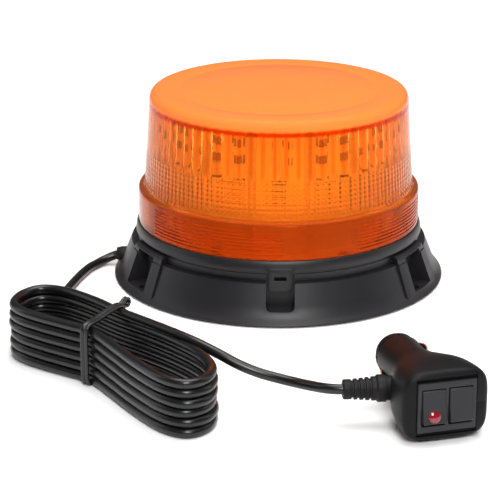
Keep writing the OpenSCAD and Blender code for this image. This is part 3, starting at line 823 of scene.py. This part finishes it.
def make_camera():
    """The camera, level with a low look down on the beacon."""
    data = bpy.data.cameras.new("camera")
    data.lens = FOCAL_LENGTH
    data.sensor_width = SENSOR_WIDTH
    data.clip_start = 0.05
    camera = bpy.data.objects.new("camera", data)
    bpy.context.collection.objects.link(camera)
    camera.location = CAMERA_PLACE
    aim = Vector(CAMERA_TARGET) - camera.location
    camera.rotation_euler = aim.to_track_quat("-Z", "Y").to_euler()
    bpy.context.scene.camera = camera


def make_cord(finishes):
    """The supply cord in one run, from inside the base through the hank to the plug."""
    path = smooth_path(LEAD_ROUTE + hank_points() + TAIL_ROUTE, PATH_STEPS)
    for place in path:
        place.z = max(place.z, LAY_HEIGHT)
    data = bpy.data.curves.new("supply_cord", "CURVE")
    data.dimensions = "3D"
    data.bevel_depth = settings().cord_diameter / 2
    data.bevel_resolution = 6
    data.use_fill_caps = True
    spline = data.splines.new("POLY")
    spline.points.add(len(path) - 1)
    for point, place in zip(spline.points, path):
        point.co = (*place, 1)
    spline.use_smooth = True
    piece = bpy.data.objects.new("supply_cord", data)
    bpy.context.collection.objects.link(piece)
    finish_piece(
        piece, HOUSING, "cord_sheath", finishes, ["cord_lead", "cord_hank", "cord_tail"]
    )
    return piece, path_length(path)


def strap_ring(place, ahead, width, gauge):
    """Cross-section of the two-cored tie: two round edges with a valley between them."""
    ahead = ahead.normalized()
    side = Vector((math.sin(TIE_TURN), -math.cos(TIE_TURN), 0))
    out = side.cross(ahead).normalized()
    outline = [
        (-0.5, 0), (-0.42, 0.42), (-0.28, 0.5), (-0.12, 0.4), (0, 0.18), (0.12, 0.4),
        (0.28, 0.5), (0.42, 0.42), (0.5, 0), (0.42, -0.42), (0.28, -0.5), (0.12, -0.4),
        (0, -0.18), (-0.12, -0.4), (-0.28, -0.5), (-0.42, -0.42),
    ]
    return [place + side * (a * width) + out * (b * gauge) for a, b in outline]


def make_tie(finishes):
    """The twist tie round the hank, with its ends twisted into a small open loop."""
    across = Vector((math.cos(TIE_TURN), math.sin(TIE_TURN), 0))
    # Points as (across the hank, up), in millimetres
    corners = [
        (-11, 0.85), (0, 0.85), (11, 0.85), (12.9, 2.2), (13.2, 8), (13.2, 16), (13.2, 24),
        (12.5, 28.2), (10, 29.1), (3, 28.5), (-4, 27.7), (-10.6, 27.2), (-13.1, 25.6),
        (-13.6, 20), (-13.6, 12), (-13.6, 5), (-13, 2.2),
    ]
    places = [TIE_AT + across * (u * MM) + Vector((0, 0, z * MM)) for u, z in corners]
    path = smooth_path(places, PATH_STEPS, closed=True)
    rings = [
        strap_ring(p, path[(i + 1) % len(path)] - path[i - 1], *TIE_STRAP)
        for i, p in enumerate(path)
    ]
    piece = skin_object("twist_tie", rings, closed=True)
    loop = [
        (11.5, 28.8), (13.5, 29.3), (15.5, 30.4), (17.2, 30.2), (17.9, 28.6), (17, 27.2),
        (15.2, 27.2), (13.6, 28.2),
    ]
    places = [TIE_AT + across * (u * MM) + Vector((0, 0, z * MM)) for u, z in loop]
    path = smooth_path(places, PATH_STEPS)
    rings = [
        strap_ring(p, path[min(i + 1, len(path) - 1)] - path[max(i - 1, 0)], *TIE_END_STRAP)
        for i, p in enumerate(path)
    ]
    end = skin_object("twist_tie_end", rings)
    activate(piece)
    end.select_set(True)
    bpy.ops.object.join()
    smooth(piece, degrees=60)
    finish_piece(piece, HOUSING, "tie_plastic", finishes, ["cord_tie"])
    return piece


def arc(centre_r, centre_z, radius, start, end, steps):
    """Points of an arc in an outline."""
    angles = [math.radians(start + (end - start) * k / steps) for k in range(steps + 1)]
    return [(centre_r + radius * math.cos(a), centre_z + radius * math.sin(a)) for a in angles]


def in_prism_panel(angle):
    """Whether an angle from the front lies in one of the collar's lined panels."""
    return any(0 <= (angle - start) % 360 <= PRISM_SWEEP for start in PRISM_STARTS)


def make_lens(finishes):
    """The lens: plain collar with lined panels, fluted side wall, flat top with a shallow rim."""
    line_heights = [PRISM_LOW + i * PRISM_PITCH for i in range(settings().prism_lines)]
    lines = [
        (COLLAR_RADIUS, z) for h in line_heights for z in (h - PRISM_HALF, h, h + PRISM_HALF)
    ]
    profile = (
        [(0.5, 92.0), (20, 92.0), (46.4, 92.0), (46.9, 91.85), (47.4, 91.85), (47.9, 92.0)]
        + arc(57.9, 88.0, 4.0, 90, 0, 9)
        + [(63.3, 67.0), (64.6, 47.6), (64.85, 46.3), (65.2, 45.85)]
        + arc(65.9, 43.9, 1.8, 90, 0, 5)
        + lines[::-1]
        + [(COLLAR_RADIUS, 28.8), (67.3, 28.35), (64.8, 28.35), (64.8, 23.35), (62.4, 23.35)]
        + [(62.4, 44.6), (62.2, 46.2), (61.1, 66), (60.0, 85.2)]
        + [(59.4, 87.4), (57.6, 89.2), (56.4, 89.5), (47.4, 89.5), (20, 89.5), (0.5, 89.5)]
    )
    count = settings().flute_count
    piece = lathe("lens", profile, count * FLUTE_SIDES)
    step = 360 / (count * FLUTE_SIDES)

    def on_line(angle, r, z):
        near_line = any(abs(z - h) < 0.1 for h in line_heights)
        return near_line and abs(r - COLLAR_RADIUS) < 0.05 and in_prism_panel(angle)

    def on_flute(angle, r, z):
        return 64 < z < 86 and 58.5 < r < 62 and round(angle / step) % FLUTE_SIDES == 0

    push_ring(piece, on_line, (COLLAR_RADIUS - PRISM_DEPTH) / COLLAR_RADIUS)
    push_ring(piece, on_flute, 1 + settings().flute_depth / FLUTE_RADIUS)
    clean(piece, distance=1e-7)
    smooth(piece, degrees=24)
    return finish_piece(piece, HOUSING, "lens_amber", finishes, ["lens"])


def rounded(value, n):
    """Power of a cosine or sine that keeps its sign, for rounded rectangles."""
    return math.copysign(abs(value) ** (2 / n), value)


def plug_rings(inset, first, steps, sides):
    """Rings of the plug's rounded body, finely spaced between its sections."""
    sections = smooth_path([Vector(s) for s in PLUG_LINE[first:]], steps)
    return [
        [
            (
                (half_w - inset) * rounded(math.sin(2 * math.pi * k / sides), n) * MM,
                y * MM,
                (half_h - inset) * rounded(math.cos(2 * math.pi * k / sides), n) * MM,
            )
            for k in range(sides)
        ]
        for y, half_w, half_h, n in sections
    ]


def plug_body():
    """The whole plug housing in its own frame, before it is split into halves."""
    body = skin_object("plug_body", plug_rings(PLUG_INSET, 0, 4, 128))
    for radius, start, end, sides in PLUG_STEPS:
        combine(body, cutter_rod(radius, (0, start, 0), (0, end, 0), sides), "UNION")
    combine(body, skin_object("cavity", plug_rings(PLUG_WALL, 2, 3, 64)), "DIFFERENCE")
    for low, high in PLUG_RECESSES:
        combine(body, cutter_box(low, high), "DIFFERENCE")
    for radius, start, end, sides in PLUG_BORES:
        combine(body, cutter_rod(radius, (0, start, 0), (0, end, 0), sides), "DIFFERENCE")
    for side in (0, math.pi):
        slot = cutter_box(*CONTACT_SLOT)
        slot.rotation_euler = (0, side + CONTACT_TILT, 0)
        apply_place(slot)
        combine(body, slot, "DIFFERENCE")
    away = Vector((-math.cos(RELIEF_TURN), math.sin(RELIEF_TURN), 0))
    seat = cutter_rod(RELIEF_BORE, RELIEF_AT - away * 4, RELIEF_AT + away * 10)
    combine(body, seat, "DIFFERENCE")
    return body


def make_plug(finishes):
    """The two halves of the plug's housing, parted at mid height."""
    body = plug_body()
    halves = []
    for name, node, upper in (
        ("plug_upper_half", "plug_upper", True), ("plug_lower_half", "plug_lower", False)
    ):
        half = bpy.data.objects.new(name, body.data.copy())
        bpy.context.collection.objects.link(half)
        activate(half)
        bpy.ops.object.mode_set(mode="EDIT")
        bpy.ops.mesh.select_all(action="SELECT")
        bpy.ops.mesh.bisect(
            plane_co=(0, 0, 0), plane_no=(0, 0, 1), use_fill=True,
            clear_inner=upper, clear_outer=not upper,
        )
        bpy.ops.object.mode_set(mode="OBJECT")
        if not upper:
            for x, y in SCREW_PLACES:
                for radius, low, high, operation in SCREW_SEAT:
                    rod = cutter_rod(radius, (x, y, low), (x, y, high), 48)
                    combine(half, rod, operation)
        clean(half, distance=1e-6)
        ease_edges(half, PLUG_EASE, PLUG_ANGLE)
        half.matrix_world = PLUG_PLACE
        apply_place(half)
        smooth(half, degrees=32)
        halves.append(finish_piece(half, HOUSING, "plug_plastic", finishes, [node]))
    bpy.data.objects.remove(body, do_unlink=True)
    return halves


def make_tip_coil(finishes):
    """The spring behind the fuse, a smoothed copy of its CAD node with a mesh of its own."""
    piece = copied_node("tip_coil", "tip_spring")
    smooth(piece, degrees=60)
    finish_piece(piece, HOUSING, "spring_steel", finishes, ["tip_spring"])
    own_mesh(piece)
    return piece


def dress_nodes(finishes):
    """Gives every CAD node the material of its slot."""
    for part in frame["record"]["subparts"]:
        node = frame["nodes"][part["node"]]
        node.data.materials.clear()
        node.data.materials.append(finishes[part["material_slot"]])


# ---- Stage ----


def area_light(name, place, target, width, height, watts):
    """A soft rectangular light aimed at a point."""
    data = bpy.data.lights.new(name, "AREA")
    data.shape = "RECTANGLE"
    data.size = width
    data.size_y = height
    data.energy = watts
    light = bpy.data.objects.new(name, data)
    bpy.context.collection.objects.link(light)
    light.location = place
    light.rotation_euler = (Vector(target) - Vector(place)).to_track_quat("-Z", "Y").to_euler()
    return light


def make_stage():
    """White floor, white surround and soft lights above, in front and at the sides."""
    deselect()
    bpy.ops.mesh.primitive_plane_add(size=FLOOR_SIZE, location=(0, 0, 0))
    floor = bpy.context.object
    floor.name = "floor"
    # Flat white paper, with hardly any shine
    material, tree, principled = new_material(
        "white paper", Roughness=0.9, Specular_IOR_Level=0.1
    )
    fibres = noise(tree, object_point(tree), 40.0, 3.0)
    tree.links.new(
        two_tone(tree, linear("#FBFBFB"), linear("#FFFFFF"), fibres),
        principled.inputs["Base Color"],
    )
    floor.data.materials.append(material)
    lights = [area_light(*light) for light in LIGHTS]
    world = bpy.data.worlds.new("white surround")
    world.use_nodes = True
    background = world.node_tree.nodes["Background"]
    background.inputs["Color"].default_value = (1, 1, 1, 1)
    background.inputs["Strength"].default_value = SURROUND_STRENGTH
    bpy.context.scene.world = world
    bpy.context.scene.view_settings.view_transform = "Standard"


# ---- Add-on ----

MADE = {}


class BEACON_OT_cord(bpy.types.Operator):
    """Lays the supply cord and its tie."""

    bl_idname = "beacon.cord"
    bl_label = "Cord"

    def execute(self, context):
        MADE["finishes"] = make_finishes()
        MADE["cord"], MADE["cord_length"] = make_cord(MADE["finishes"])
        MADE["tie"] = make_tie(MADE["finishes"])
        return {"FINISHED"}


class BEACON_OT_camera(bpy.types.Operator):
    """Places the camera."""

    bl_idname = "beacon.camera"
    bl_label = "Camera"

    def execute(self, context):
        make_camera()
        return {"FINISHED"}


class BEACON_OT_lens(bpy.types.Operator):
    """Models the lens."""

    bl_idname = "beacon.lens"
    bl_label = "Lens"

    def execute(self, context):
        make_lens(MADE["finishes"])
        return {"FINISHED"}


class BEACON_OT_plug(bpy.types.Operator):
    """Models the plug's housing and the spring behind its fuse."""

    bl_idname = "beacon.plug"
    bl_label = "Plug housing"

    def execute(self, context):
        MADE["halves"] = make_plug(MADE["finishes"])
        MADE["coil"] = make_tip_coil(MADE["finishes"])
        return {"FINISHED"}


class BEACON_OT_eased(bpy.types.Operator):
    """Eases the edges of the base, the ring, the switches, the fuse cap and the strain relief."""

    bl_idname = "beacon.eased"
    bl_label = "Eased mouldings"

    def execute(self, context):
        MADE["eased"] = {
            node: eased_node(name, node, width, body, slot, MADE["finishes"])
            for name, node, width, body, slot in EASED_NODES
        }
        return {"FINISHED"}


class BEACON_OT_finishes(bpy.types.Operator):
    bl_idname = "beacon.finishes"
    bl_label = "Finishes"

    def execute(self, context):
        dress_nodes(MADE["finishes"])
        return {"FINISHED"}


class BEACON_OT_stage(bpy.types.Operator):
    """Sets up the floor and the lights."""

    bl_idname = "beacon.stage"
    bl_label = "Stage"

    def execute(self, context):
        make_stage()
        return {"FINISHED"}


OPERATORS = [
    BEACON_OT_camera, BEACON_OT_cord, BEACON_OT_lens, BEACON_OT_plug, BEACON_OT_eased,
    BEACON_OT_finishes, BEACON_OT_stage,
]


class BEACON_PT_panel(bpy.types.Panel):
    """Lists the steps that build the beacon."""

    bl_idname = "BEACON_PT_panel"
    bl_label = "Warning beacon"
    bl_space_type = "VIEW_3D"
    bl_region_type = "UI"
    bl_category = "Beacon"

    def draw(self, context):
        for name in BeaconSettings.__annotations__:
            self.layout.prop(context.scene.beacon, name)
        for operator in OPERATORS:
            self.layout.operator(operator.bl_idname)


def register():
    """Registers the settings, the operators and the panel."""
    bpy.utils.register_class(BeaconSettings)
    bpy.types.Scene.beacon = bpy.props.PointerProperty(type=BeaconSettings)
    for operator in OPERATORS:
        bpy.utils.register_class(operator)
    bpy.utils.register_class(BEACON_PT_panel)


def unregister():
    """Takes the add-on out again."""
    bpy.utils.unregister_class(BEACON_PT_panel)
    for operator in reversed(OPERATORS):
        bpy.utils.unregister_class(operator)
    del bpy.types.Scene.beacon
    bpy.utils.unregister_class(BeaconSettings)


def main():
    """Builds everything."""
    register()
    bpy.ops.beacon.camera()
    bpy.ops.beacon.cord()
    bpy.ops.beacon.lens()
    bpy.ops.beacon.plug()
    bpy.ops.beacon.eased()
    bpy.ops.beacon.finishes()
    bpy.ops.beacon.stage()


if __name__ == "__main__":
    main()
